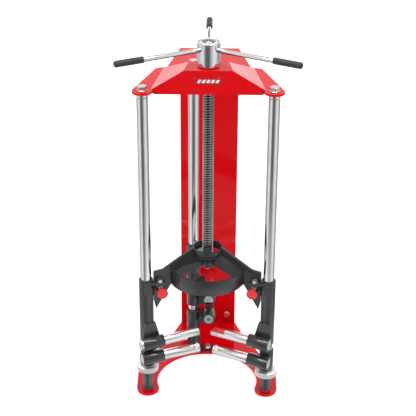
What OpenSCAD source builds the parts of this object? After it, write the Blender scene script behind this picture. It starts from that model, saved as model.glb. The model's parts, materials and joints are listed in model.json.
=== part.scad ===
// Floor-standing three-post spring compressor.
// Origin: on the floor, in the middle of the footprint. +X right, +Y to the column, +Z up.

/* [Frame] */
// Diameter of the three guide posts
post_d = 30; // [26:1:34]
// Front posts, distance from the middle plane
post_x = 167; // [150:1:180]
// Front posts, distance in front of the lead screw
post_y = 44.5; // [35:0.5:60]
// Rear post, distance left of the lead screw
rear_x = 42; // [40:1:50]
// Rear post, distance behind the lead screw
rear_y = 167; // [150:1:180]
// Underside of the head plate above the floor
head_z = 897; // [800:1:1000]
// Thickness of the base plate
base_t = 8; // [6:1:12]
// Thickness of the head plate
head_t = 6; // [5:1:10]

/* [Column] */
// Width of the column
column_w = 166; // [140:2:180]
// Front face of the column behind the lead screw
column_y = 315; // [290:1:340]
// Sheet thickness of the column
column_t = 4; // [3:0.5:6]
// Depth of the column's side flanges
column_flange = 34; // [20:1:50]

/* [Head roof] */
// Top face of the raised roof above the floor
roof_z = 954; // [940:1:980]
// Half width of the roof's flat top at the front
roof_half = 62; // [50:1:75]
// Sheet thickness of the roof
roof_t = 4; // [3:0.5:6]
// Front face of the apron in front of the lead screw
apron_y = 40; // [34:1:44]

/* [Screw] */
// Major diameter of the lead screw
screw_d = 29.4; // [24:0.2:30]
// Outside diameter of the hub
hub_d = 60; // [50:1:64]
// Top of the hub above the floor
hub_top = 1019; // [1000:1:1040]
// Height of the handles above the floor
handle_z = 999; // [985:1:1005]
// Reach of the handles from the screw's axis
handle_r = 262; // [200:1:320]
// Diameter of the handle rods
handle_d = 12; // [10:0.5:14]
// Diameter of the handle grips
grip_d = 17; // [15:0.5:20]

/* [Spider] */
// Top of the spider's centre ring above the floor
ring_z = 440; // [420:1:480]
// Outside diameter of the centre ring
ring_d = 80; // [70:1:90]
// Thickness of the spider's webs
web_t = 8; // [6:1:10]
// Outside radius of the front band
band_r = 105; // [95:1:112]

/* [Arms] */
// Outside diameter of the sleeves
sleeve_d = 39; // [37:1:44]
// Top of the upper sleeves above the floor
upper_top = 361; // [350:1:370]
// Bottom of the upper sleeves above the floor
upper_bottom = 164; // [160:1:175]
// Length of the lower sleeves
lower_len = 62; // [50:1:70]
// Outside diameter of the arm tubes
tube_d = 37; // [34:0.5:40]
// Length of the arm tubes
tube_len = 62; // [50:1:70]
// Diameter of the arm rods
rod_d = 27.5; // [24:0.5:29]
// Sideways distance from a front post to its arm
arm_offset = 32; // [31:0.5:36]
// Length of the upper front arm rods
rod_len = 174; // [160:1:200]
// Length of the lower front arm rods
low_rod_len = 168; // [160:1:200]
// Length of the rear arm rods
rear_rod_len = 160; // [140:1:170]
// Radial running clearance of every sliding or turning fit
run = 0.05; // [0.02:0.01:0.1]
// Free space between parts that pass each other
gap = 0.3; // [0.3:0.05:0.5]

/* [Hidden] */

$fn = 64;

// Index of each post
L = 0;
R = 1;
B = 2;
POST = [[-post_x, -post_y], [post_x, -post_y], [-rear_x, rear_y]];
// The left side is the right side mirrored
FLIP = [1, 0, 0];
post_r = post_d / 2;
post_dist = norm(POST[R]);
// Bearing of each post from the lead screw
BEARING = [for (p = POST) atan2(p[1], p[0])];
// Angle between a front web and its arm
arm_turn = asin(arm_offset / post_dist);
// Heading of each arm, pointing away from the lead screw
HEADING = [BEARING[L] + arm_turn, BEARING[R] - arm_turn, 90];
OFFSET = [arm_offset, arm_offset, rear_x + 3];
// Swing of the lower arms as they stand
SWING = [-3, 0, 0];
// Reach of each arm tube's middle from the lead screw
ARM_MID = [166, 160, 168];

head_top = head_z + head_t;
column_back = column_y + column_t;
tab_t = 6;
foot_r = 31;
arch_r = 143;
ear_r = 26;
spacer_h = 11;

// Stack on the lead screw, from the roof down
race_h = 4;
ball_d = 4.8;
race_top_z = roof_z - roof_t - race_h;
ball_z = race_top_z - ball_d / 2;
race_low_z = ball_z - ball_d / 2 - gap;
shaft_nut_h = 12;
housing_r = 23.5;
hub_bottom = roof_z + 1.2 + gap;
screw_r = screw_d / 2;
screw_top = hub_top + 1.5;
screw_bottom = 384;

// Spider heights
ring_h = 21;
boss_r = 19.5;
boss_bottom = screw_bottom + gap;
band_top = 386;
band_h = 43;
band_t = 5;
// Plunger axes, from the lead screw along the webs
plunger_at = 133;

// Upper and lower arm heights, left, right and rear
UPPER_Z = [174.5, 176.5, 190];
LOWER_Z = [128.5, 115.5, 125];
LOWER_BOTTOM = [92.3, 78.3, 80.3];
collar_h = 18;
collar_r = 31.5;
washer_h = 1.2;

// Where the front rods stand, from the lead screw to their inner tip
UPPER_TIP = [29, 17, 135];
LOWER_TIP = [28.5, 22.5, 135];

// The modules are built about the lead screw; this puts the origin mid-footprint
module placed() {
    translate([0, -108, 0]) children();
}

// Puts its children at a post, +X outwards along the arm, the arm on -Y
module at_arm(i, swing = 0) {
    translate([POST[i][0], POST[i][1], 0])
    rotate(HEADING[i] + swing * (i == R ? -1 : 1))
    mirror([0, FLIP[i], 0])
    children();
}

// Puts its children on the line from the lead screw to a post
module at_spoke(i) {
    rotate(BEARING[i]) mirror([0, FLIP[i], 0]) children();
}

module at_posts() {
    for (p = POST) translate([p[0], p[1], 0]) children();
}

module tube(r, bore, z0, z1) {
    translate([0, 0, z0])
    difference() {
        cylinder(r = r, h = z1 - z0);
        translate([0, 0, -1]) cylinder(r = bore, h = z1 - z0 + 2);
    }
}

module hex_bolt(af, head_h, d, shank) {
    cylinder(d = af / cos(30), h = head_h, $fn = 6);
    translate([0, 0, -shank]) cylinder(d = d, h = shank);
}

module base_outline() {
    difference() {
        union() {
            polygon([
                [column_w / 2, column_back + column_flange],
                [column_w / 2, column_y], [103, 256], [post_x + 33, 36],
                [post_x + foot_r + 1, -post_y], [post_x, -post_y],
                [138, -37], [-138, -37],
                [-post_x, -post_y], [-post_x - foot_r - 1, -post_y],
                [-post_x - 33, 36], [-103, 256], [-column_w / 2, column_y],
                [-column_w / 2, column_back + column_flange]]);
            for (i = [L, R]) translate(POST[i]) circle(r = foot_r);
        }
        circle(r = arch_r, $fn = 128);
    }
}

module base_plate() {
    color("red") {
        difference() {
            linear_extrude(base_t) base_outline();
            at_posts() translate([0, 0, -1]) cylinder(r = 5, h = base_t + 2);
            at_posts() translate([0, 0, -0.01])
                cylinder(r1 = 10, r2 = 5, h = 5);
            translate([0, 158, -1]) cylinder(r = 5, h = base_t + 2);
        }
        difference() {
            translate([-70, column_back, base_t]) cube([140, tab_t, 60]);
            column_holes(37);
        }
    }
}

module column_holes(z) {
    for (x = [-58, 58]) translate([x, column_y - tab_t - 1, z])
        rotate([-90, 0, 0]) cylinder(r = 5, h = 2 * tab_t + column_t + 2);
}

module column() {
    color("red")
    difference() {
        translate([-column_w / 2, column_y, base_t])
        difference() {
            cube([column_w, column_t + column_flange, head_z - base_t]);
            translate([column_t, column_t, -1])
                cube([column_w - 2 * column_t, column_flange + 1, head_z]);
        }
        column_holes(37);
        column_holes(head_z - 30);
        translate([-100, column_back, head_z]) rotate([-45, 0, 0])
            cube([200, 80, 80]);
    }
}

module column_bolts() {
    color("silver")
    for (x = [-58, 58], b = [[37, 0], [head_z - 30, -tab_t]])
    translate([x, b[1], b[0]]) {
        translate([0, column_y, 0]) rotate([90, 0, 0]) {
            cylinder(r = 9.5, h = 1.6);
            translate([0, 0, 1.6]) hex_bolt(15, 6, 10, 18);
        }
        translate([0, column_back + tab_t, 0]) rotate([-90, 0, 0])
        difference() {
            cylinder(d = 15 / cos(30), h = 7, $fn = 6);
            translate([0, 0, -1]) cylinder(r = 5, h = 12);
        }
    }
}

module head_outline() {
    polygon([
        [81, column_y],
        [112, 143], [141, 133],
        [post_x + ear_r - 3, -post_y + 13], [post_x, -post_y],
        [146, -apron_y + roof_t], [-146, -apron_y + roof_t],
        [-post_x, -post_y], [-post_x - ear_r + 3, -post_y + 13],
        [-141, 133], [-112, 143], [-81, column_y]]);
    for (i = [L, R]) translate(POST[i]) circle(r = ear_r);
}

module head_plate() {
    color("red") {
        difference() {
            translate([0, 0, head_z]) linear_extrude(head_t) head_outline();
            translate([0, 0, head_z - 1]) cylinder(r = 17, h = head_t + 2);
            at_posts() translate([0, 0, head_z - 1])
                cylinder(r = 8, h = head_t + 2);
            translate([-200, -80, head_z - 1])
                cube([400, 80 - apron_y + roof_t, head_t + 2]);
            translate([-100, column_y - head_t, head_z]) difference() {
                cube([200, head_t + 1, head_t + 1]);
                rotate([0, 90, 0]) cylinder(r = head_t, h = 200);
            }
        }
        difference() {
            translate([0, 0, head_z]) linear_extrude(head_t)
            intersection() {
                for (i = [L, R]) translate(POST[i]) circle(r = ear_r);
                translate([-200, -80]) square([400, 80 - apron_y + roof_t]);
            }
            at_posts() translate([0, 0, head_z - 1])
                cylinder(r = 8, h = head_t + 2);
        }
        difference() {
            translate([-81, column_y - tab_t, head_z - 60]) cube([162, tab_t, 60]);
            column_holes(head_z - 30);
        }
    }
}

// Solid hip: flat top, two side slopes and a rear slope, upright in front
module hip(top, half, y0, back) {
    drop = top - head_top;
    foot = half + drop * 1.62;
    rear = back + drop * 2.1;
    intersection() {
        rotate([90, 0, 0]) rotate([0, 90, 0])
            translate([0, 0, -300]) linear_extrude(600)
            polygon([[y0, head_top], [y0, top], [back, top], [rear, head_top]]);
        hip_side(1, half, foot, drop, y0);
        hip_side(-1, half, foot, drop, y0);
    }
}

// Everything on the inner side of one sloping side face
module hip_side(s, half, foot, drop, y0) {
    translate([s * half, y0, 0]) rotate(s * 8)
    translate([0, 400, head_top])
    rotate([90, 0, 0]) linear_extrude(600)
    polygon([[-s * 400, 0], [-s * 400, drop], [0, drop], [s * (foot - half), 0]]);
}

module apron() {
    translate([0, -apron_y + roof_t, 0]) rotate([90, 0, 0])
    linear_extrude(roof_t)
    polygon([
        [-roof_half, roof_z], [roof_half, roof_z],
        [roof_half + 1.62 * (roof_z - head_top), head_top],
        [roof_half + 1.62 * (roof_z - head_top), head_z - 1],
        [136, head_z - 6], [-136, head_z - 6],
        [-roof_half - 1.62 * (roof_z - head_top), head_z - 1],
        [-roof_half - 1.62 * (roof_z - head_top), head_top]]);
}

module head_roof() {
    color("red")
    difference() {
        union() {
            difference() {
                hip(roof_z, roof_half, -apron_y, 31);
                translate([0, 0, -roof_t])
                    hip(roof_z, roof_half - 1, -apron_y + roof_t, 30);
                hip(roof_z - roof_t, roof_half - 4, -apron_y + roof_t, 27);
            }
            difference() {
                apron();
                at_posts() translate([0, 0, head_z - 1])
                    cylinder(r = ear_r + 0.01, h = head_t + 1.01);
            }
        }
        cylinder(r = screw_r + 1.3, h = 2000);
    }
}

module name_badge() {
    color("firebrick")
    translate([-37.5, -apron_y - 1, 917]) cube([75, 1, 19]);
}

module post(i) {
    color("silver")
    translate([POST[i][0], POST[i][1], 0])
    difference() {
        translate([0, 0, base_t])
            cylinder(r = post_r, h = head_z - spacer_h - base_t);
        translate([0, 0, head_z - 40]) cylinder(r = 8, h = 60);
        translate([0, 0, base_t - 1]) cylinder(r = 5, h = 30);
    }
}

module post_left() post(L);
module post_right() post(R);
module post_rear() post(B);

module post_spacers() {
    color("silver")
    at_posts() tube(post_r, 8, head_z - spacer_h, head_z);
}

module post_washers() {
    color("silver") at_posts() tube(13, 8, head_top, head_top + 2.5);
}

module post_bolts() {
    color("silver")
    at_posts() translate([0, 0, head_top + 2.5])
        hex_bolt(22, 10, 16, head_t + 2.5 + spacer_h + 24);
}

module foot_screws() {
    color("dimgray")
    at_posts() difference() {
        union() {
            cylinder(r1 = 10, r2 = 5, h = 5);
            cylinder(r = 5, h = 33);
        }
        translate([0, 0, -1]) cylinder(d = 6, h = 4, $fn = 6);
    }
}

module stand_tube() {
    color("darkslategray") {
        translate([POST[B][0], POST[B][1], 0])
            tube(sleeve_d / 2, post_r, base_t, LOWER_BOTTOM[B] - gap);
        difference() {
            translate([POST[B][0] + 15, 149, base_t]) cube([42, 18, 8]);
            translate([POST[B][0], POST[B][1], 0])
                cylinder(r = sleeve_d / 2 - 1, h = 20);
            translate([0, 158, 0]) cylinder(r = 5, h = 40);
        }
    }
}

module stand_bolt() {
    color("silver")
    translate([0, 158, base_t + 8]) {
        tube(9.5, 5, 0, 1.6);
        translate([0, 0, 1.6]) hex_bolt(15, 7, 10, 17);
    }
}

module bearing_housing() {
    color("dimgray") tube(housing_r + 5, housing_r, head_top, roof_z - roof_t);
}

module bearing_race_top() {
    color("silver")
    tube(housing_r, screw_r + 0.5, race_top_z, roof_z - roof_t);
}

module bearing_balls() {
    color("silver")
    for (a = [0:30:330]) rotate(a) translate([19, 0, ball_z])
        sphere(d = ball_d, $fn = 24);
}

module hub_washer() {
    color("goldenrod") tube(27, screw_r + 1.3, roof_z, roof_z + 1.2);
}

module lead_screw() {
    color("gray")
    difference() {
        translate([0, 0, screw_bottom])
            cylinder(r = screw_r, h = screw_top - screw_bottom);
        translate([0, 0, screw_bottom - 1]) cylinder(r = 5, h = 26);
        translate([0, 0, 970]) rotate([-90, 0, 0]) cylinder(r = 4, h = 20);
    }
}

module hub() {
    color("silver")
    difference() {
        translate([0, 0, hub_bottom]) rotate_extrude($fn = 96) polygon([
            [screw_r, 0], [hub_d / 2 - 1.5, 0], [hub_d / 2, 1.5],
            [hub_d / 2, hub_top - hub_bottom - 1.5],
            [hub_d / 2 - 1.5, hub_top - hub_bottom],
            [20, hub_top - hub_bottom], [19, hub_top - hub_bottom - 1],
            [19, hub_top - hub_bottom - 9], [screw_r, hub_top - hub_bottom - 9]]);
        at_handles() translate([screw_r + 1, 0, 0]) rotate([0, 90, 0])
            cylinder(d = handle_d, h = 20);
        translate([0, 0, 970]) rotate([-90, 0, 0]) cylinder(r = 4, h = 40);
    }
}

module at_handles() {
    for (a = [90, 210, 330]) rotate(a) translate([0, 0, handle_z]) children();
}

module handle_rods() {
    color("silver")
    at_handles() translate([screw_r + 1, 0, 0]) rotate([0, 90, 0])
        cylinder(d = handle_d, h = handle_r - screw_r - 6);
}

module handle_grips() {
    grip_r = grip_d / 2;
    grip_len = 78;
    color("black")
    at_handles() translate([handle_r - grip_len, 0, 0]) rotate([0, 90, 0])
    rotate_extrude() polygon([
        [handle_d / 2, 0], [grip_r - 1.5, 0], [grip_r, 1.5],
        [grip_r, grip_len - 3], [grip_r - 1, grip_len - 1.2],
        [grip_r - 3, grip_len], [0, grip_len],
        [0, grip_len - 5], [handle_d / 2, grip_len - 5]]);
}

module hub_set_screw() {
    color("dimgray")
    translate([0, 0, 970]) rotate([-90, 0, 0])
    difference() {
        translate([0, 0, 8]) cylinder(r = 4, h = 20);
        translate([0, 0, 24]) cylinder(d = 4.6, h = 6, $fn = 6);
    }
}

module bearing_race_bottom() {
    color("silver")
    tube(housing_r - 1, screw_r, race_low_z - race_h, race_low_z);
}

module shaft_nut() {
    color("dimgray")
    tube(housing_r - 1, screw_r, race_low_z - race_h - shaft_nut_h,
        race_low_z - race_h);
}

module screw_end_washer() {
    color("silver") tube(16.5, 5, screw_bottom - 4, screw_bottom);
}

module screw_end_bolt() {
    color("silver")
    translate([0, 0, screw_bottom - 4]) mirror([0, 0, 1])
        hex_bolt(15, 6, 10, 25);
}

// Side view of a web: distance from the lead screw against height
module web(i) {
    at_spoke(i) rotate([90, 0, 0]) translate([0, 0, -web_t / 2])
    difference() {
        linear_extrude(web_t) polygon([
            [boss_r - 0.5, 384.3], [boss_r - 0.5, ring_z - ring_h],
            [ring_d / 2 - 0.5, ring_z - ring_h], [ring_d / 2 - 0.5, ring_z + 3],
            [126, band_top], [151, 382], [152, 377],
            [152, 292], [146, 267], [105, 337]]);
        translate([plunger_at, 325, -1]) cylinder(r = 5, h = web_t + 2);
    }
}

module spider_frame() {
    color("darkslategray") {
        for (i = [L, R, B]) web(i);
        tube(ring_d / 2, ring_d / 2 - 4, ring_z - ring_h, ring_z);
        difference() {
            tube(boss_r, screw_r + 3, boss_bottom, ring_z - ring_h);
            at_nut_locks() cylinder(r = 2.5, h = 5);
        }
        difference() {
            tube(band_r, band_r - band_t, band_top - band_h, band_top);
            at_spoke(R) translate([-300, 0, 300]) cube([600, 300, 200]);
            at_spoke(L) translate([-300, 0, 300]) cube([600, 300, 200]);
        }
        for (i = [L, R, B]) at_spoke(i) difference() {
            translate([124, -web_t / 2 - 18, 344]) cube([25, 18, 6]);
            translate([137, -14, 340]) cylinder(r = 5, h = 20);
        }
    }
}

module drive_nut() {
    color("goldenrod")
    tube(screw_r + 3, screw_r + run, boss_bottom, ring_z - ring_h);
}

// Puts its children where a screw locks the drive nut, +Z outwards
module at_nut_locks() {
    for (a = [45, 225]) rotate(a) translate([screw_r + 3, 0, 400])
        rotate([0, 90, 0]) children();
}

module nut_lock_screws() {
    color("dimgray") at_nut_locks() cylinder(r = 2.5, h = 5);
}

// Sleeve on its post with the arm tube welded beside it
module sleeve(i, z0, z1, arm_z, gusset_z, swing, bore) {
    at_arm(i, swing) difference() {
        union() {
            translate([0, 0, z0]) cylinder(d = sleeve_d, h = z1 - z0);
            tube_at(i) translate([0, 0, arm_z]) rotate([0, 90, 0])
                cylinder(d = tube_d, h = tube_len, center = true);
            gusset(i, arm_z, gusset_z);
        }
        translate([0, 0, z0 - 1]) cylinder(r = bore, h = z1 - z0 + 2);
        tube_at(i) translate([0, 0, arm_z]) rotate([0, 90, 0])
            cylinder(r = rod_d / 2 + run, h = tube_len + 2, center = true);
        tube_at(i) translate([0, 0, arm_z - 20]) cylinder(r = 4, h = 20);
    }
}

// Middle of the arm tube, seen from the post
module tube_at(i) {
    along = sqrt(pow(norm(POST[i]), 2) - pow(OFFSET[i], 2));
    translate([ARM_MID[i] - along, -OFFSET[i], 0]) children();
}

// Plate between the sleeve and the arm tube
module gusset(i, arm_z, gusset_z) {
    depth = OFFSET[i] - 10 - sleeve_d / 2 + 4;
    low = arm_z - tube_d / 2 + 5;
    difference() {
        translate([0, -sleeve_d / 2 + 4, 0]) rotate([90, 0, 0])
        linear_extrude(depth) polygon([
            [-30, low], [-30, arm_z + 8], [-17, gusset_z],
            [13, gusset_z], [22, arm_z + 8], [22, low]]);
        tube_at(i) translate([0, 0, arm_z]) rotate([0, 90, 0])
            cylinder(r = rod_d / 2 + 1, h = 120, center = true);
    }
}

// Upper sleeve with the lugs that the spider holds it by
module upper_sleeve(i) {
    color("darkslategray") {
        sleeve(i, upper_bottom, upper_top, UPPER_Z[i], UPPER_Z[i] + 58,
            0, post_r + 2);
        at_spoke(i) difference() {
            union() {
                translate([124, -web_t / 2 - 18, 350.02]) cube([40, 18, 6]);
                if (i != B) translate([124, web_t / 2, 305]) cube([40, 8, 40]);
                if (i != B) translate([post_dist - 10, -sleeve_d / 2 - 2, 324])
                    cube([20, 8, 35]);
            }
            translate([post_dist, 0, 290]) cylinder(r = sleeve_d / 2 - 1, h = 80);
            translate([137, -14, 340]) cylinder(r = 5, h = 30);
            translate([plunger_at, 0, 325]) rotate([-90, 0, 0])
                cylinder(r = 5, h = 30);
        }
    }
}

module upper_sleeve_left() upper_sleeve(L);
module upper_sleeve_right() upper_sleeve(R);
module upper_sleeve_rear() upper_sleeve(B);

module upper_bushes() {
    color("black")
    at_posts() {
        tube(post_r + 2, post_r + run, upper_bottom, upper_bottom + 30);
        tube(post_r + 2, post_r + run, upper_top - 30, upper_top);
    }
}

module spider_bolts() {
    color("silver")
    for (i = [L, R, B]) at_spoke(i) translate([137, -14, 356.02]) {
        tube(8.5, 5, 0, 1.6);
        translate([0, 0, 1.6]) hex_bolt(15, 6, 10, 24);
    }
}

module spider_nuts() {
    color("silver")
    for (i = [L, R, B]) at_spoke(i) translate([137, -14, 337])
    difference() {
        cylinder(d = 15 / cos(30), h = 7, $fn = 6);
        translate([0, 0, -1]) cylinder(r = 5, h = 9);
    }
}

module plunger_barrels() {
    color("dimgray")
    for (i = [L, R]) at_plunger(i) difference() {
        union() {
            cylinder(d = 16 / cos(30), h = 6, $fn = 6);
            cylinder(r = 7, h = 15);
        }
        translate([0, 0, -1]) cylinder(r = 5, h = 20);
    }
}

// Plunger axis, +Z out of the web towards the front
module at_plunger(i) {
    at_spoke(i) translate([plunger_at, -web_t / 2, 325]) rotate([90, 0, 0])
        children();
}

module plunger_pin(i) {
    color("silver")
    at_plunger(i) translate([0, 0, -15]) cylinder(r = 5 - run, h = 38);
}

module plunger_pin_left() plunger_pin(L);
module plunger_pin_right() plunger_pin(R);

module knob(i) {
    color("orangered")
    at_plunger(i) difference() {
        translate([0, 0, 15.5]) rotate_extrude($fn = 96) polygon([
            [0, 0], [9, 0], [11, 2.5], [14, 3], [15, 4.5],
            [15, 10], [13.6, 11.6], [10, 12.4], [0, 12.6]]);
        translate([0, 0, 10]) cylinder(r = 5 - run, h = 13);
    }
}

module knob_left() knob(L);
module knob_right() knob(R);

// Arm rod from its inner tip outwards
module rod(i, arm_z, tip, len, swing) {
    at_arm(i, swing) tube_at(i) translate([tip - ARM_MID[i], 0, arm_z])
    rotate([0, 90, 0]) cylinder(d = rod_d, h = len);
}

// A box over the inner end of a rod, from one height to another
module tip_cut(i, arm_z, tip, from, len, z0, z1, swing) {
    at_arm(i, swing) tube_at(i)
    translate([tip - ARM_MID[i] + from, -20, arm_z + z0]) cube([len, 40, z1 - z0]);
}

// Slot with a round bottom, open at the top
module seat_cut() {
    cylinder(r = 6.5, h = 40, center = true);
    translate([-6.5, 0, -20]) cube([13, 20, 40]);
}

// Round seat across the top of a rod
module tip_seat(i, arm_z, tip, swing) {
    at_arm(i, swing) tube_at(i) translate([tip - ARM_MID[i] + 10, 0, arm_z + 8])
    rotate([90, 0, 0]) seat_cut();
}

module upper_rod_left() {
    color("silver") difference() {
        rod(L, UPPER_Z[L], UPPER_TIP[L], rod_len, 0);
        tip_cut(L, UPPER_Z[L], UPPER_TIP[L], -1, 38, -20, -2, 0);
    }
}

module upper_rod_right() {
    color("silver") difference() {
        rod(R, UPPER_Z[R], UPPER_TIP[R], rod_len, 0);
        tip_cut(R, UPPER_Z[R], UPPER_TIP[R], -1, 42, 4, 20, 0);
    }
}

module upper_rod_rear() {
    color("silver") difference() {
        rod(B, UPPER_Z[B], UPPER_TIP[B], rear_rod_len, 0);
        tip_cut(B, UPPER_Z[B], UPPER_TIP[B], -1, 37, -20, -7, 0);
    }
}

module lower_rod(i) {
    color("silver") difference() {
        rod(i, LOWER_Z[i], LOWER_TIP[i], low_rod_len, SWING[i]);
        tip_seat(i, LOWER_Z[i], LOWER_TIP[i], SWING[i]);
    }
}

module lower_rod_left() lower_rod(L);
module lower_rod_right() lower_rod(R);

module lower_rod_rear() {
    color("silver") difference() {
        rod(B, LOWER_Z[B], LOWER_TIP[B], rear_rod_len, 0);
        at_arm(B) tube_at(B)
        translate([LOWER_TIP[B] - ARM_MID[B] - 1, 0, LOWER_Z[B]])
        rotate([0, 90, 0]) cylinder(r = 4.5, h = 17);
    }
}

// Set screw under an arm tube
module rod_screw(i, arm_z, swing) {
    at_arm(i, swing) tube_at(i) difference() {
        translate([0, 0, arm_z - tube_d / 2 - 3])
            cylinder(r = 4, h = tube_d / 2 + 3 - rod_d / 2 - gap);
        translate([0, 0, arm_z - tube_d / 2 - 4])
            cylinder(d = 4.6, h = 4, $fn = 6);
    }
}

module upper_rod_screws() {
    color("dimgray") for (i = [L, R, B]) rod_screw(i, UPPER_Z[i], 0);
}

module lower_screw_left() {
    color("dimgray") rod_screw(L, LOWER_Z[L], SWING[L]);
}

module lower_screw_right() {
    color("dimgray") rod_screw(R, LOWER_Z[R], SWING[R]);
}

module lower_screw_rear() {
    color("dimgray") rod_screw(B, LOWER_Z[B], SWING[B]);
}

module lower_sleeve(i) {
    color("darkslategray")
    sleeve(i, LOWER_BOTTOM[i], LOWER_BOTTOM[i] + lower_len, LOWER_Z[i],
        LOWER_Z[i] + 14, SWING[i], post_r + run);
}

module lower_sleeve_left() lower_sleeve(L);
module lower_sleeve_right() lower_sleeve(R);
module lower_sleeve_rear() lower_sleeve(B);

module washer(i) {
    color("silver") translate([POST[i][0], POST[i][1], 0])
    tube(22, post_r + run, LOWER_BOTTOM[i] - gap - washer_h,
        LOWER_BOTTOM[i] - gap);
}

module washer_left() washer(L);
module washer_right() washer(R);

module collar(i) {
    z1 = LOWER_BOTTOM[i] - 2 * gap - washer_h;
    color("silver")
    translate([POST[i][0], POST[i][1], z1 - collar_h])
    rotate_extrude($fn = 96) polygon([
        [post_r + run, 0], [collar_r - 2, 0], [collar_r, 2],
        [collar_r, collar_h - 3], [collar_r - 3, collar_h],
        [post_r + run, collar_h]]);
}

module collar_left() collar(L);
module collar_right() collar(R);

placed() base_plate();
placed() column();
placed() column_bolts();
placed() head_plate();
placed() head_roof();
placed() name_badge();
placed() post_left();
placed() post_right();
placed() post_rear();
placed() post_spacers();
placed() post_washers();
placed() post_bolts();
placed() foot_screws();
placed() stand_tube();
placed() stand_bolt();
placed() bearing_housing();
placed() bearing_race_top();
placed() bearing_balls();
placed() hub_washer();
placed() lead_screw();
placed() hub();
placed() handle_rods();
placed() handle_grips();
placed() hub_set_screw();
placed() bearing_race_bottom();
placed() shaft_nut();
placed() screw_end_washer();
placed() screw_end_bolt();
placed() spider_frame();
placed() drive_nut();
placed() nut_lock_screws();
placed() upper_sleeve_left();
placed() upper_sleeve_right();
placed() upper_sleeve_rear();
placed() upper_bushes();
placed() spider_bolts();
placed() spider_nuts();
placed() plunger_barrels();
placed() upper_rod_screws();
placed() plunger_pin_left();
placed() plunger_pin_right();
placed() knob_left();
placed() knob_right();
placed() upper_rod_left();
placed() upper_rod_right();
placed() upper_rod_rear();
placed() washer_left();
placed() washer_right();
placed() collar_left();
placed() collar_right();
placed() lower_sleeve_left();
placed() lower_sleeve_right();
placed() lower_sleeve_rear();
placed() lower_screw_left();
placed() lower_screw_right();
placed() lower_screw_rear();
placed() lower_rod_left();
placed() lower_rod_right();
placed() lower_rod_rear();
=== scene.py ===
import json
import math

import bmesh
import bpy
from mathutils import Matrix, Vector


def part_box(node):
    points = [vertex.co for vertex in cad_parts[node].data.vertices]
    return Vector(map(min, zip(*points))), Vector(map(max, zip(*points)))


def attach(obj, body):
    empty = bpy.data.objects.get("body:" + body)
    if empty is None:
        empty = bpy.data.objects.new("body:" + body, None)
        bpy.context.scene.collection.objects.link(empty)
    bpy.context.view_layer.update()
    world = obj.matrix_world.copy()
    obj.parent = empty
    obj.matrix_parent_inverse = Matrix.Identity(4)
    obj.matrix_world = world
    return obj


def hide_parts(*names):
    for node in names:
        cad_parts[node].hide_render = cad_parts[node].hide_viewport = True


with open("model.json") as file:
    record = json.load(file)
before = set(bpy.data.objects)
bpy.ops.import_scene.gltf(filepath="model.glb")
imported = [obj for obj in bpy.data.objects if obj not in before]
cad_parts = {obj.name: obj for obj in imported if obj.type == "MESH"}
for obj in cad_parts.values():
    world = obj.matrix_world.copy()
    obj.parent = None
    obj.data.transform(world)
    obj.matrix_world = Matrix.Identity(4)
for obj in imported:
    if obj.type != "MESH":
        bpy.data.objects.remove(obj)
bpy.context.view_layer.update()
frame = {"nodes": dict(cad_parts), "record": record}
record = frame["record"]
JOINT = {j["name"]: j for j in record["behaviour"]["joints"]}
SLOT = {s["node"]: s["material_slot"] for s in record["subparts"]}
TAU = 2 * math.pi
SCREW_PITCH = 0.007
POST_PITCH = 0.0035
POST_THREAD = 0.098
GRIP_LENGTH = 0.078


# ---------------------------------------------------------------- places

def low(node):
    return Vector(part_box(node)[0])


def high(node):
    return Vector(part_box(node)[1])


def mid(node):
    return (low(node) + high(node)) / 2


def axis_of(joint):
    return Vector(JOINT[joint]["axis"]).normalized()


def place(origin, z_axis, x_hint=Vector((1, 0, 0))):
    """A frame at origin with its Z along z_axis."""
    z = Vector(z_axis).normalized()
    if abs(z.dot(x_hint)) > 0.99:
        x_hint = Vector((0, 1, 0))
    y = z.cross(x_hint).normalized()
    m = Matrix((y.cross(z), y, z)).transposed().to_4x4()
    m.translation = origin
    return m


# ------------------------------------------------------------- materials

def maths(tree, kind, a, b=None):
    node = tree.nodes.new("ShaderNodeMath")
    node.operation = kind
    for socket, value in zip(node.inputs, (a, b)):
        if hasattr(value, "is_linked"):
            tree.links.new(value, socket)
        elif value is not None:
            socket.default_value = value
    return node.outputs[0]


def ramp(tree, value, stops, kind="EASE"):
    node = tree.nodes.new("ShaderNodeValToRGB")
    node.color_ramp.interpolation = kind
    steps = node.color_ramp.elements
    while len(steps) < len(stops):
        steps.new(0.5)
    for step, (at, grey) in zip(steps, stops):
        step.position = at
        step.color = (grey, grey, grey, 1)
    tree.links.new(value, node.inputs["Fac"])
    return node.outputs["Color"]


def blend(tree, factor, a, b):
    node = tree.nodes.new("ShaderNodeMix")
    node.data_type = "RGBA"
    for socket, value in ((node.inputs["Factor"], factor), (node.inputs[6], a), (node.inputs[7], b)):
        tree.links.new(value, socket)
    return node.outputs[2]


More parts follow.
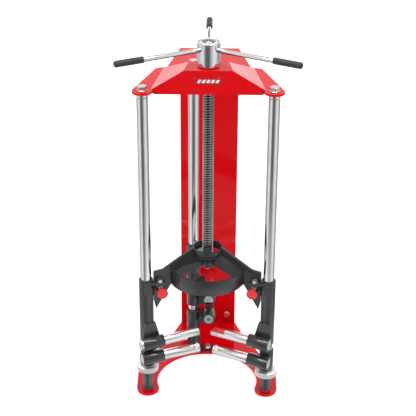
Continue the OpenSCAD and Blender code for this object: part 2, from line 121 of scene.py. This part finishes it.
class Nodes:
    """A material's node tree, written one node a line."""

    def __init__(self, name):
        self.mat = bpy.data.materials.new(name)
        self.mat.use_nodes = True
        self.tree = self.mat.node_tree
        self.bsdf = self.tree.nodes["Principled BSDF"]
        self.coord = self.new("ShaderNodeTexCoord").outputs["Object"]

    def new(self, kind, **values):
        node = self.tree.nodes.new(kind)
        for key, value in values.items():
            setattr(node, key, value)
        return node

    def link(self, out, to):
        self.tree.links.new(out, to)

    def stretch(self, scale):
        m = self.new("ShaderNodeMapping")
        m.inputs["Scale"].default_value = scale
        self.link(self.coord, m.inputs["Vector"])
        return m.outputs["Vector"]

    def noise(self, scale, detail=2.0, rough=0.5, along=None):
        n = self.new("ShaderNodeTexNoise")
        n.inputs["Scale"].default_value = scale
        n.inputs["Detail"].default_value = detail
        n.inputs["Roughness"].default_value = rough
        self.link(along or self.coord, n.inputs["Vector"])
        return n.outputs["Fac"]

    def remap(self, value, a, b, lo=0.3, hi=0.7):
        r = self.new("ShaderNodeMapRange")
        r.inputs["From Min"].default_value = lo
        r.inputs["From Max"].default_value = hi
        r.inputs["To Min"].default_value = a
        r.inputs["To Max"].default_value = b
        self.link(value, r.inputs["Value"])
        return r.outputs["Result"]

    def mix(self, factor, a, b):
        m = self.new("ShaderNodeMix", data_type="RGBA")
        self.link(factor, m.inputs["Factor"])
        for socket, value in ((m.inputs[6], a), (m.inputs[7], b)):
            if hasattr(value, "is_linked"):
                self.link(value, socket)
            else:
                socket.default_value = (*value, 1)
        return m.outputs[2]

    def bump(self, height, strength, distance, under=None):
        b = self.new("ShaderNodeBump")
        b.inputs["Strength"].default_value = strength
        b.inputs["Distance"].default_value = distance
        self.link(height, b.inputs["Height"])
        if under:
            self.link(under, b.inputs["Normal"])
        return b.outputs["Normal"]

    def colour(self, out):
        self.link(out, self.bsdf.inputs["Base Color"])

    def rough(self, out):
        self.link(out, self.bsdf.inputs["Roughness"])

    def normal(self, out):
        self.link(out, self.bsdf.inputs["Normal"])

    def set(self, **values):
        for key, value in values.items():
            self.bsdf.inputs[key.replace("_", " ")].default_value = value


def paint(name, dark, light):
    """Gloss paint: faint mottling, dusty patches and orange peel."""
    n = Nodes(name)
    n.set(IOR=1.5, Specular_IOR_Level=0.05, Coat_Weight=0.5, Coat_Roughness=0.025, Coat_IOR=1.5)
    n.colour(n.mix(n.remap(n.noise(9, 3), 0, 1), dark, light))
    n.rough(n.remap(n.noise(60, 6, 0.7), 0.2, 0.3))
    n.normal(n.bump(n.noise(340, 2), 0.04, 0.001))
    return n.mat


def powder(name, dark, light):
    """Black powder coat: fine grain, soft sheen, lighter where it is handled."""
    n = Nodes(name)
    n.set(IOR=1.5, Specular_IOR_Level=0.15, Coat_Weight=0.9, Coat_Roughness=0.06)
    n.colour(n.mix(n.remap(n.noise(38, 5, 0.6), 0, 1), dark, light))
    n.rough(n.remap(n.noise(120, 5, 0.6), 0.36, 0.5))
    grain = n.bump(n.noise(2300, 2), 0.22, 0.0003)
    n.normal(n.bump(n.noise(420, 2), 0.06, 0.0008, grain))
    return n.mat


def metal(name, dark, light, rough, grain, lines=(1, 1, 1), scale=60, strength=0.05):
    """Bare or plated metal with drawn lines, smudges and a tint that wanders."""
    n = Nodes(name)
    n.set(Metallic=1.0)
    n.colour(n.mix(n.remap(n.noise(22, 4), 0, 1), dark, light))
    smudge = n.remap(n.noise(scale, 5, 0.6), rough[0], rough[1])
    n.rough(smudge)
    drawn = n.noise(grain, 3, 0.6, n.stretch(lines))
    n.normal(n.bump(drawn, strength, 0.0004))
    return n.mat


def bar(name, stops, rough):
    """Chrome bar that lies flat, with painted shade and painted reflection in its colour: darker where it
    faces down, brightest along its top. stops: the painted tone from underneath to the top.
    """
    n = Nodes(name)
    n.set(Metallic=1.0)
    split = n.new("ShaderNodeSeparateXYZ")
    n.link(n.new("ShaderNodeNewGeometry").outputs["Normal"], split.inputs[0])
    upward = n.remap(split.outputs[2], 0, 1, -1, 1)
    # Painted shade and painted reflection: the base colour follows how far the surface faces up.
    painted_tone = ramp(n.tree, upward, stops)
    n.colour(painted_tone)
    n.rough(n.remap(n.noise(60, 5, 0.6), *rough))
    n.normal(n.bump(n.noise(300, 3, 0.6), 0.01, 0.0004))
    return n.mat


def grooved(name, centre, root, crest, dark, light):
    """Threaded steel, with painted shade darkening the thread's root."""
    n = Nodes(name)
    n.set(Metallic=1.0)
    split = n.new("ShaderNodeSeparateXYZ")
    n.link(n.coord, split.inputs[0])
    x = maths(n.tree, "SUBTRACT", split.outputs[0], centre.x)
    y = maths(n.tree, "SUBTRACT", split.outputs[1], centre.y)
    square = maths(n.tree, "ADD", maths(n.tree, "MULTIPLY", x, x), maths(n.tree, "MULTIPLY", y, y))
    # Painted shade: the colour goes dark towards the thread's root, by distance from the screw's axis.
    depth = n.remap(maths(n.tree, "SQRT", square), 0.0, 1.0, root, crest)
    worn = n.mix(n.remap(n.noise(22, 4), 0, 1), dark, light)
    n.colour(n.mix(depth, (0.1, 0.1, 0.102), worn))
    n.rough(n.remap(n.noise(60, 5, 0.6), 0.24, 0.38))
    n.normal(n.bump(n.noise(1100, 3, 0.6), 0.12, 0.0004))
    return n.mat


def rubber(name):
    n = Nodes(name)
    n.set(IOR=1.45)
    n.colour(n.mix(n.remap(n.noise(90, 5), 0, 1), (0.018, 0.018, 0.02), (0.034, 0.034, 0.037)))
    n.rough(n.remap(n.noise(240, 4), 0.46, 0.66))
    n.normal(n.bump(n.noise(1500, 3), 0.25, 0.0004))
    return n.mat


def plastic(name, dark, light):
    n = Nodes(name)
    n.set(IOR=1.46, Subsurface_Weight=0.05)
    n.colour(n.mix(n.remap(n.noise(70, 4), 0, 1), dark, light))
    n.rough(n.remap(n.noise(160, 4), 0.3, 0.42))
    n.normal(n.bump(n.noise(900, 2), 0.08, 0.0003))
    return n.mat


MAT = {
    "red_paint": paint("red_paint", (0.66, 0.0005, 0.004), (0.72, 0.0008, 0.006)),
    "badge": paint("badge_red", (0.50, 0.008, 0.02), (0.56, 0.012, 0.028)),
    "chrome": metal("chrome", (0.80, 0.81, 0.82), (0.88, 0.88, 0.89), (0.05, 0.1), 500,
                    (1, 1, 0.02), strength=0.02),
    "zinc": metal("zinc", (0.70, 0.71, 0.73), (0.84, 0.84, 0.85), (0.2, 0.34), 900, strength=0.12),
    "screw_steel": metal("screw_steel", (0.34, 0.35, 0.35), (0.48, 0.48, 0.48), (0.24, 0.4), 1100,
                         strength=0.15),
    # Arm rods and handle rods: chrome with painted shade underneath; the handle rods also get a painted
    # dark reflection along the very top.
    "satin_chrome_painted_shade": bar("satin_chrome_painted_shade", ((0.2, 0.62), (0.5, 0.8), (0.75, 0.93), (1.0, 0.93)), (0.2, 0.25)),
    "handle_chrome_painted_shade": bar("handle_chrome_painted_shade", ((0.0, 0.12), (0.25, 0.2), (0.5, 0.8), (0.8, 0.92), (0.96, 0.42)),
                         (0.1, 0.14)),
    "dark_thread": metal("dark_thread", (0.15, 0.155, 0.16), (0.24, 0.24, 0.245), (0.3, 0.42), 1100,
                         strength=0.1),
    "bright_zinc": metal("bright_zinc", (0.86, 0.87, 0.89), (0.92, 0.92, 0.93), (0.4, 0.5), 900,
                         strength=0.08),
    "black_coat": powder("black_coat", (0.022, 0.024, 0.0275), (0.034, 0.037, 0.042)),
    "black_oxide": metal("black_oxide", (0.07, 0.07, 0.075), (0.12, 0.12, 0.125), (0.3, 0.45), 1200,
                         strength=0.12),
    "nylon": plastic("nylon", (0.014, 0.014, 0.015), (0.022, 0.022, 0.024)),
    "bronze": metal("bronze", (0.50, 0.33, 0.14), (0.62, 0.43, 0.2), (0.22, 0.36), 800, strength=0.1),
    "grip_rubber": rubber("grip_rubber"),
    "knob_plastic": plastic("knob_plastic", (0.70, 0.024, 0.024), (0.80, 0.035, 0.035)),
    "badge_white": plastic("badge_white", (0.82, 0.80, 0.80), (0.90, 0.88, 0.88)),
}


# ---------------------------------------------------------------- meshes

def finish_mesh(name, bm, mat, body, swap, sharp):
    bmesh.ops.remove_doubles(bm, verts=bm.verts, dist=2e-7)
    bmesh.ops.dissolve_degenerate(bm, edges=bm.edges, dist=1e-7)
    bmesh.ops.recalc_face_normals(bm, faces=bm.faces)
    for face in bm.faces:
        face.smooth = True
    for edge in bm.edges:
        edge.smooth = len(edge.link_faces) != 2 or edge.calc_face_angle(0) < math.radians(sharp)
    me = bpy.data.meshes.new(name)
    bm.to_mesh(me)
    bm.free()
    me.materials.append(MAT[mat])
    ob = bpy.data.objects.new(name, me)
    bpy.context.scene.collection.objects.link(ob)
    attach(ob, body)
    if swap:
        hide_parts(*swap)
    return ob


def rings(bm, rows, close=True):
    """Joins rows of points into a skin; close joins each row's ends."""
    grid = [[bm.verts.new(p) for p in row] for row in rows]
    for a, b in zip(grid, grid[1:]):
        count = len(a) if close else len(a) - 1
        for k in range(count):
            j = (k + 1) % len(a)
            bm.faces.new((a[k], a[j], b[j], b[k]))
    return grid


def lathe(bm, m, profile, segs=96, relief=None):
    """Turns (radius, height) points about m's Z. relief(angle, height) lowers the surface."""
    rows = []
    for r, z in profile:
        row = []
        for k in range(segs):
            a = TAU * k / segs
            rr = r - (relief(a, z) if relief and r > 0 else 0)
            row.append(m @ Vector((rr * math.cos(a), rr * math.sin(a), z)))
        rows.append(row)
    rings(bm, rows)


def turned(name, m, profile, mat, body, swap=(), segs=96, relief=None, sharp=28):
    bm = bmesh.new()
    lathe(bm, m, profile, segs, relief)
    return finish_mesh(name, bm, mat, body, swap, sharp)


def thread(bm, x, y, z0, z1, pitch, r, depth, segs=48):
    """Right-hand trapezoidal thread, cut off square at both ends."""
    form = ((0.0, r), (0.34, r), (0.52, r - depth), (0.82, r - depth))
    turns = int(math.ceil((z1 - z0) / pitch)) + 1
    rows = []
    for k in range(turns * segs + 1):
        a = TAU * k / segs
        base = z0 + pitch * (k / segs - 1)
        row = []
        for share, radius in form + ((1.0, r),):
            z = min(max(base + share * pitch, z0), z1)
            row.append((x + radius * math.cos(a), y + radius * math.sin(a), z))
        rows.append(row)
    rings(bm, rows, close=False)


def hexagon(bm, m, across, height, z=0.0):
    """Hexagon with its upper corners turned off, as on a real bolt head."""
    inner = across / 2 * 0.97
    angles = [TAU * k / 60 for k in range(60)]

    def reach(a):
        off = (a % (TAU / 6)) - TAU / 12
        return across / 2 / math.cos(off)

    def drop(a):
        return max(0.0, reach(a) - inner) * 0.62

    def row(radius, level):
        return [m @ Vector((radius(a) * math.cos(a), radius(a) * math.sin(a), level(a))) for a in angles]

    rings(bm, [row(lambda a: 0.0, lambda a: z),
               row(lambda a: inner, lambda a: z),
               row(reach, lambda a: z),
               row(reach, lambda a: z + height - drop(a)),
               row(lambda a: inner, lambda a: z + height),
               row(lambda a: 0.0, lambda a: z + height)])


def washer(bm, m, r, bore, h, z=0.0):
    e = h * 0.25
    lathe(bm, m, [(bore, z), (r - e, z), (r, z + e), (r, z + h - e), (r - e, z + h), (bore, z + h),
                  (bore, z)], 64)


# ------------------------------------------------- CAD nodes kept as they are

BEVEL = {
    "base_plate": 0.0012, "column": 0.0016, "head_plate": 0.0016, "head_roof": 0.0014,
    "spider_frame": 0.0010, "stand_tube": 0.0006, "handle_rods": 0.0008,
}


# The arm rods and handle rods take chrome with painted shade and painted reflection in its colour.
LOOK = {f"{level}_rod_{side}": "satin_chrome_painted_shade" for level in ("upper", "lower")
        for side in ("left", "right", "rear")}
LOOK.update(washer_left="bright_zinc", washer_right="bright_zinc", handle_rods="handle_chrome_painted_shade")


def dress(node):
    """The CAD shape with its own material and with its sharp edges broken."""
    ob = frame["nodes"][node]
    ob.data.materials.clear()
    ob.data.materials.append(MAT[LOOK.get(node, SLOT[node])])
    weld = ob.modifiers.new("weld", "WELD")
    weld.merge_threshold = 1e-6
    flat = ob.modifiers.new("flat", "DECIMATE")
    flat.decimate_type = "DISSOLVE"
    flat.angle_limit = math.radians(0.4)
    edge = ob.modifiers.new("edge", "BEVEL")
    edge.width = BEVEL.get(node, 0.0005)
    edge.segments = 2
    edge.limit_method = "ANGLE"
    edge.angle_limit = math.radians(32)
    edge.harden_normals = True
    edge.use_clamp_overlap = True


for node in frame["nodes"]:
    dress(node)


# ---------------------------------------------------------------- spindle

SPINDLE = Vector((mid("lead_screw").x, mid("lead_screw").y, 0))


def lead_screw():
    lo, hi = low("lead_screw"), high("lead_screw")
    r = (hi.x - lo.x) / 2
    bm = bmesh.new()
    thread(bm, SPINDLE.x, SPINDLE.y, lo.z, hi.z - 0.006, SCREW_PITCH, r, 0.0032)
    # The screw's colour carries painted shade at the thread's root.
    MAT["screw_thread"] = grooved("screw_thread", SPINDLE, r - 0.003, r - 0.0008, (0.42, 0.43, 0.43),
                                  (0.56, 0.56, 0.56))
    core = Matrix.Translation(SPINDLE)
    lathe(bm, core, [(0.005, lo.z), (r - 0.0031, lo.z), (r - 0.0031, hi.z - 0.007),
                     (r - 0.0006, hi.z - 0.0062), (r - 0.0006, hi.z - 0.002),
                     (r - 0.0026, hi.z), (0.0042, hi.z), (0.0012, hi.z - 0.0036), (0, hi.z - 0.0036)],
          64)
    ob = finish_mesh("lead_screw_thread", bm, "screw_thread", "spindle", ["lead_screw"], 25)


def hub():
    lo, hi = low("hub"), high("hub")
    r = (hi.x - lo.x) / 2
    screw_r = (high("lead_screw").x - low("lead_screw").x) / 2
    m = Matrix.Translation(SPINDLE)
    lip = 0.019
    turned("hub_body", m, [
        (screw_r, lo.z), (r - 0.0016, lo.z), (r - 0.0006, lo.z + 0.0003), (r, lo.z + 0.0012),
        (r, lo.z + 0.006), (r, hi.z - 0.0022), (r - 0.0004, hi.z - 0.001), (r - 0.0011, hi.z - 0.0003),
        (r - 0.0022, hi.z), (lip + 0.002, hi.z), (lip + 0.0008, hi.z - 0.0004), (lip, hi.z - 0.0016),
        (lip, hi.z - 0.0085), (screw_r, hi.z - 0.009), (screw_r, lo.z)],
        "chrome", "spindle", ["hub"], 128)


def handles():
    grip = low("handle_grips"), high("handle_grips")
    z = (grip[0].z + grip[1].z) / 2
    r = (grip[1].z - grip[0].z) / 2
    reach = grip[1].y - SPINDLE.y
    for k, turn in enumerate((90, 210, 330)):
        a = math.radians(turn)
        out = Vector((math.cos(a), math.sin(a), 0))
        m = place(SPINDLE + out * (reach - GRIP_LENGTH) + Vector((0, 0, z)), out)
        rows = [(0.006, 0.0), (r - 0.0016, 0.0), (r - 0.0005, 0.0004), (r, 0.0014)]
        count = 92
        end = GRIP_LENGTH
        first, last = 0.004, GRIP_LENGTH - 0.0075
        rows += [(r, first + (last - first) * j / count) for j in range(count + 1)]
        rows += [(r, end - 0.0052), (r - 0.0006, end - 0.0028), (r - 0.0019, end - 0.0011),
                 (r - 0.0038, end - 0.0003), (r - 0.006, end), (0.0, end)]

        def relief(angle, height):
            if height < first or height > last:
                return 0.0
            fade = min(1.0, (height - first) / 0.002, (last - height) / 0.002)
            ring = 1.0 if abs(height - 0.012) < 0.0011 or abs(height - last + 0.006) < 0.0011 else 0.0
            p = abs(math.sin(14 * angle + height * 1300)) * abs(math.sin(14 * angle - height * 1300))
            return fade * (0.00032 * (1 - p) + 0.0005 * ring)

        turned(f"grip_{k}", m, rows, "grip_rubber", "spindle", ["handle_grips"], 112, relief, 40)


# ----------------------------------------------------------------- posts

def front_post(side):
    node = f"post_{side}"
    lo, hi, c = low(node), high(node), mid(node)
    r = (hi.x - lo.x) / 2
    top = lo.z + POST_THREAD
    bm = bmesh.new()
    thread(bm, c.x, c.y, lo.z, top, POST_PITCH, r, 0.0011)
    m = Matrix.Translation((c.x, c.y, 0))
    lathe(bm, m, [(0.005, lo.z), (r - 0.0012, lo.z), (r - 0.0012, top)], 48)
    finish_mesh(f"{node}_thread", bm, "dark_thread", "frame", [node], 25)
    turned(f"{node}_bar", m, [
        (0.005, top - 0.001), (r - 0.0014, top - 0.001), (r, top + 0.0012), (r, hi.z - 0.2),
        (r, hi.z - 0.0012), (r - 0.0012, hi.z), (0.008, hi.z)], "chrome", "frame", [node], 96)


def spacers():
    lo, hi = low("post_spacers").z, high("post_spacers").z
    r = (high("post_left").x - low("post_left").x) / 2
    bm = bmesh.new()
    for node in ("post_left", "post_right", "post_rear"):
        c = mid(node)
        lathe(bm, Matrix.Translation((c.x, c.y, 0)), [
            (0.008, lo), (r - 0.0012, lo), (r, lo + 0.0012), (r, hi - 0.0006), (r - 0.0006, hi),
            (0.008, hi), (0.008, lo)], 96)
    finish_mesh("post_spacer_rings", bm, "chrome", "frame", ["post_spacers"], 28)


def collar(side):
    node = f"collar_{side}"
    lo, hi, c = low(node), high(node), mid(node)
    r = (hi.x - lo.x) / 2
    bore = 0.01505
    m = Matrix.Translation((c.x, c.y, 0))
    first, last = lo.z + 0.0032, hi.z - 0.0046
    count = 30
    rows = [(bore + 0.001, lo.z), (r - 0.0022, lo.z), (r - 0.0004, lo.z + 0.0018), (r - 0.0004, first)]
    rows += [(r, first + (last - first) * k / count) for k in range(count + 1)]
    rows += [(r - 0.0004, last + 0.0001), (r - 0.0006, hi.z - 0.0034), (r - 0.0034, hi.z - 0.0004),
             (r - 0.0046, hi.z), (bore + 0.0012, hi.z), (bore, hi.z - 0.001), (bore, lo.z + 0.001),
             (bore + 0.001, lo.z)]

    def knurl(angle, height):
        if not first <= height <= last:
            return 0.0
        a = abs(math.sin(55 * angle + height * 1500))
        b = abs(math.sin(55 * angle - height * 1500))
        return 0.0006 * (1 - min(a, b))

    turned(f"{node}_knurled", m, rows, "bright_zinc", f"height_collar_{side}", [node], 440, knurl, 30)


# ------------------------------------------------------------------ bolts

def head_bolts():
    z0 = high("head_plate").z
    for side in ("left", "right", "rear"):
        c = mid(f"post_{side}")
        m = Matrix.Translation((c.x, c.y, z0))
        bm = bmesh.new()
        washer(bm, m, 0.013, 0.008, 0.0025)
        finish_mesh(f"post_washer_{side}", bm, "zinc", "frame", ["post_washers"], 28)
        turn = m @ Matrix.Rotation(math.radians({"left": 8, "right": -21, "rear": 14}[side]), 4, "Z")
        bm = bmesh.new()
        hexagon(bm, turn, 0.022, 0.01, 0.0025)
        finish_mesh(f"post_bolt_{side}", bm, "zinc", "frame", ["post_bolts"], 20)


def knob(side):
    node = f"knob_{side}"
    out = axis_of(f"plunger_pull_{side}")
    lo, hi = low(node), high(node)
    r = (hi.z - lo.z) / 2
    c = (lo + hi) / 2
    h = 0.0126
    m = place(c - out * h / 2, out)
    rows = [(0.005, 0.0), (0.0088, 0.0), (0.0092, 0.0006), (0.0108, 0.0022), (0.0136, 0.0027),
            (r - 0.0004, 0.0034), (r, 0.0046), (r, 0.0072), (r, 0.0098), (r - 0.0004, 0.0108),
            (r - 0.0014, 0.0117), (r - 0.0034, 0.0122), (0.0095, 0.0124), (0.0088, 0.0122),
            (0.0082, 0.0124), (0.004, 0.01255), (0.0, 0.0126)]

    def relief(angle, height):
        if 0.004 < height < 0.0104:
            return 0.00045 * max(0.0, math.cos(30 * angle)) ** 2
        return 0.0

    turned(f"{node}_cap", m, rows, "knob_plastic", f"plunger_{side}", [node], 240, relief, 32)


# ------------------------------------------------------------------ badge

def badge():
    lo, hi = low("name_badge"), high("name_badge")
    c = (lo + hi) / 2
    half = (hi - lo) / 2
    y = lo.y

    def rounded(w, h, r, depth):
        pts = []
        for k in range(40):
            a = TAU * k / 40
            sx = 1 if math.cos(a) >= 0 else -1
            sz = 1 if math.sin(a) >= 0 else -1
            x = c.x + sx * (w - r) + r * math.cos(a)
            pts.append(Vector((x, depth, c.z + sz * (h - r) + r * math.sin(a))))
        return pts

    bm = bmesh.new()
    rings(bm, [rounded(half.x, half.z, 0.0018, hi.y), rounded(half.x, half.z, 0.0018, y + 0.0003),
               rounded(half.x - 0.0003, half.z - 0.0003, 0.0016, y),
               rounded(half.x - 0.0012, half.z - 0.0012, 0.0010, y),
               rounded(half.x - 0.0014, half.z - 0.0014, 0.0009, y + 0.0003)])
    face = [bm.verts.new(p) for p in rounded(half.x - 0.0014, half.z - 0.0014, 0.0009, y + 0.0003)]
    bm.faces.new(face)
    finish_mesh("badge_plate", bm, "badge", "frame", ["name_badge"], 25)
    bm = bmesh.new()
    spacing, wide, tall, lean = 0.0115, 0.0036, 0.0042, 0.0022
    for k in range(5):
        x = c.x + (k - 2) * spacing
        quad = [(x - wide - lean, c.z - tall), (x + wide - lean, c.z - tall),
                (x + wide + lean, c.z + tall), (x - wide + lean, c.z + tall)]
        front = [bm.verts.new((px, y + 0.00005, pz)) for px, pz in quad]
        back = [bm.verts.new((px, y + 0.0004, pz)) for px, pz in quad]
        bm.faces.new(front)
        for a in range(4):
            bm.faces.new((front[a], front[(a + 1) % 4], back[(a + 1) % 4], back[a]))
    finish_mesh("badge_bars", bm, "badge_white", "frame", (), 25)


lead_screw()
hub()
handles()
for side in ("left", "right"):
    front_post(side)
    collar(side)
    knob(side)
spacers()
head_bolts()
badge()


# ------------------------------------------------- floor, light and camera

def floor():
    bm = bmesh.new()
    bmesh.ops.create_circle(bm, cap_ends=True, segments=128, radius=30)
    me = bpy.data.meshes.new("studio_floor")
    bm.to_mesh(me)
    bm.free()
    n = Nodes("studio_floor")
    n.set(Roughness=0.9, Specular_IOR_Level=0.1, Emission_Color=(1, 1, 1, 1), Emission_Strength=0.5)
    n.colour(n.mix(n.remap(n.noise(3, 3), 0, 1), (0.86, 0.86, 0.86), (0.88, 0.88, 0.88)))
    me.materials.append(n.mat)
    ob = bpy.data.objects.new("studio_floor", me)
    ob.location.z = -0.0006
    ob.visible_glossy = False
    bpy.context.scene.collection.objects.link(ob)


def card(name, at, size, glow):
    """White card on the floor that only the reflections see. glow(n, x, y) is its strength."""
    bm = bmesh.new()
    bmesh.ops.create_grid(bm, x_segments=1, y_segments=1, size=1)
    me = bpy.data.meshes.new(name)
    bm.to_mesh(me)
    bm.free()
    n = Nodes(name)
    n.tree.nodes.remove(n.bsdf)
    split = n.new("ShaderNodeSeparateXYZ")
    n.link(n.coord, split.inputs[0])
    light = n.new("ShaderNodeEmission")
    n.link(glow(n, split.outputs[0], split.outputs[1]), light.inputs["Strength"])
    both = n.new("ShaderNodeAddShader")
    n.link(light.outputs[0], both.inputs[0])
    n.link(n.new("ShaderNodeBsdfTransparent").outputs[0], both.inputs[1])
    n.link(both.outputs[0], n.tree.nodes["Material Output"].inputs["Surface"])
    me.materials.append(n.mat)
    ob = bpy.data.objects.new(name, me)
    ob.location = at
    ob.scale = (*size, 1)
    for ray in ("camera", "diffuse", "transmission", "volume_scatter", "shadow"):
        setattr(ob, f"visible_{ray}", False)
    bpy.context.scene.collection.objects.link(ob)


def front_glow(n, x, y):
    side = n.remap(maths(n.tree, "ABSOLUTE", x), 1.0, 0.0, 0.45, 1.0)
    near = n.remap(y, 1.0, 0.0, 0.7, 1.0)
    far = n.remap(y, 0.0, 0.4, -0.85, 0.55)
    return maths(n.tree, "MULTIPLY", maths(n.tree, "MULTIPLY", side, near), far)


def near_glow(n, x, y):
    square = maths(n.tree, "ADD", maths(n.tree, "MULTIPLY", x, x), maths(n.tree, "MULTIPLY", y, y))
    return n.remap(maths(n.tree, "SQRT", square), 0.22, 0.0, 0.5, 1.0)


def softbox(name, at, aim, width, height, power, seen=False, lights=True):
    """Area light. seen: reflections show it. lights: it lights matt surfaces too."""
    light = bpy.data.lights.new(name, "AREA")
    light.shape = "RECTANGLE"
    light.size = width
    light.size_y = height
    light.energy = power
    ob = bpy.data.objects.new(name, light)
    ob.location = at
    ob.rotation_euler = (Vector(aim) - Vector(at)).to_track_quat("-Z", "Y").to_euler()
    ob.visible_camera = False
    ob.visible_glossy = seen
    ob.visible_diffuse = lights
    bpy.context.scene.collection.objects.link(ob)


def studio():
    """A studio as the object sees it: bright sides and ceiling, dark towards the front."""
    world = bpy.data.worlds.new("studio")
    world.use_nodes = True
    tree = world.node_tree
    split = tree.nodes.new("ShaderNodeSeparateXYZ")
    tree.links.new(tree.nodes.new("ShaderNodeTexCoord").outputs["Generated"], split.inputs[0])
    x, y, z = split.outputs
    angle = maths(tree, "ARCTAN2", x, maths(tree, "MULTIPLY", y, -1.0))
    turn = maths(tree, "DIVIDE", maths(tree, "ABSOLUTE", angle), math.pi)
    around = maths(tree, "MULTIPLY_ADD", angle, 0.5 / math.pi)
    tree.nodes[-1].inputs[2].default_value = 0.5
    under = ramp(tree, around, [(0.5 + degrees / 360, grey) for degrees, grey in (
        (-180, 0.4), (-134, 0.38), (-100, 0.42), (-78, 0.58), (-60, 0.64), (-47, 0.55), (-34, 0.17),
        (-14, 0.085), (8, 0.1), (16, 0.26), (32, 0.42), (52, 0.64), (76, 0.62), (94, 0.32),
        (112, 0.25), (135, 0.3), (152, 0.42), (180, 0.4))], "LINEAR")
    height = maths(tree, "MAXIMUM", z, 0.0)
    behind = ramp(tree, height, ((0.0, 0.8), (0.03, 1.0), (0.14, 1.0), (0.2, 0.6), (0.26, 0.23),
                                 (0.36, 0.22), (0.6, 0.34), (1.0, 0.45)))
    front = ramp(tree, height, ((0.0, 0.07), (0.35, 0.13), (0.6, 0.32), (1.0, 0.45)))
    over = blend(tree, ramp(tree, turn, ((0.2, 0.0), (0.7, 1.0))), front, behind)
    level = maths(tree, "MULTIPLY_ADD", z, 12.0)
    tree.nodes[-1].inputs[2].default_value = 0.5
    tree.nodes[-1].use_clamp = True
    sky = blend(tree, level, under, over)
    background = tree.nodes["Background"]
    tree.links.new(sky, background.inputs["Color"])
    boost = maths(tree, "MULTIPLY_ADD", level, 1.4)
    tree.nodes[-1].inputs[2].default_value = 1.35
    tree.links.new(boost, background.inputs["Strength"])
    bpy.context.scene.world = world
    softbox("key", (-1.7, -2.2, 2.9), (0, -0.1, 0.5), 1.6, 1.6, 7, True)
    softbox("fill", (2.2, -1.6, 2.2), (0, -0.1, 0.5), 1.6, 1.6, 4)
    softbox("top", (0, -0.15, 2.9), (0, -0.14, 0.5), 2.2, 0.24, 13)
    softbox("strip", (0, -0.8, 2.9), (0, -0.2, 0.3), 2.6, 0.6, 60, True, False)


def camera():
    data = bpy.data.cameras.new("camera")
    data.lens = 97.57
    data.sensor_width = 36
    data.sensor_fit = "HORIZONTAL"
    data.clip_start = 0.05
    data.clip_end = 100
    pitch, yaw, roll = math.radians(25.59), math.radians(-0.456), math.radians(0.32)
    level = Vector((math.sin(yaw), math.cos(yaw), 0)) * math.cos(pitch)
    ahead = level - Vector((0, 0, math.sin(pitch)))
    right = Vector((math.cos(yaw), -math.sin(yaw), 0))
    top = right.cross(ahead)
    turned_right = right * math.cos(roll) + top * math.sin(roll)
    turned_top = top * math.cos(roll) - right * math.sin(roll)
    ob = bpy.data.objects.new("camera", data)
    aim = Matrix((turned_right, turned_top, -ahead)).transposed().to_4x4()
    ob.matrix_world = Matrix.Translation((0.0221, -2.8337, 1.8609)) @ aim
    bpy.context.scene.collection.objects.link(ob)
    bpy.context.scene.camera = ob


floor()
card("front_card", (0, -1.12, -0.0004), (0.5, 0.72), front_glow)
card("near_card", (0, -0.05, -0.0005), (0.75, 0.75), near_glow)
studio()
camera()
view = bpy.context.scene.view_settings
view.view_transform = "Standard"
view.look = "None"
